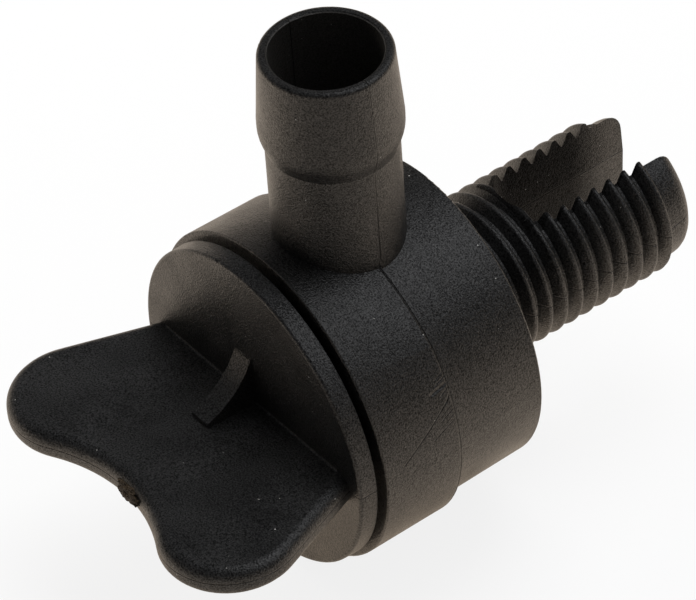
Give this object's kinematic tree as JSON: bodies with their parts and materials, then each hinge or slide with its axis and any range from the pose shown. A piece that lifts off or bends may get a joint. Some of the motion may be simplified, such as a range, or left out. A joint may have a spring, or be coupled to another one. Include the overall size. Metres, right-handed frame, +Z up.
{
  "type": "radiator drain petcock",
  "caption": "Moulded radiator drain cock: a winged screw plug with a slotted, threaded end passes through a drum-shaped outlet collar with a hose nipple.",
  "frame": {"origin": "centre of the face that seals on the radiator tank, on the plug's thread axis", "axes": "+Y along the thread into the tank, the wing is towards -Y, +Z up the hose nipple"},
  "size_m": [0.0302, 0.0538, 0.0443],
  "materials": {
    "collar_plastic": "fine pebbled mould texture, matte black",
    "plug_plastic": "fine pebbled mould texture, matte black",
    "seal_rubber": "smooth black rubber"
  },
  "bodies": {
    "collar": {"outlet_collar": "collar_plastic", "tank_seal": "seal_rubber"},
    "cap_ring": {"cap_o_ring": "seal_rubber"},
    "plug": {"winged_plug": "plug_plastic", "plug_o_ring": "seal_rubber"}
  },
  "joints": [
    {"name": "plug_travel", "type": "slide", "parent": "collar", "child": "cap_ring", "axis": [0, -1, 0], "range_m": [0, 0.0105]},
    {"name": "wing_turn", "type": "hinge", "parent": "cap_ring", "child": "plug", "pos_m": [0, 0, 0], "axis": [0, -1, 0], "range_deg": [0, 2520]}
  ],
  "couplings": [
    {"joint": "plug_travel", "follows": "wing_turn", "m_per_rad": 0.00023873}
  ]
}
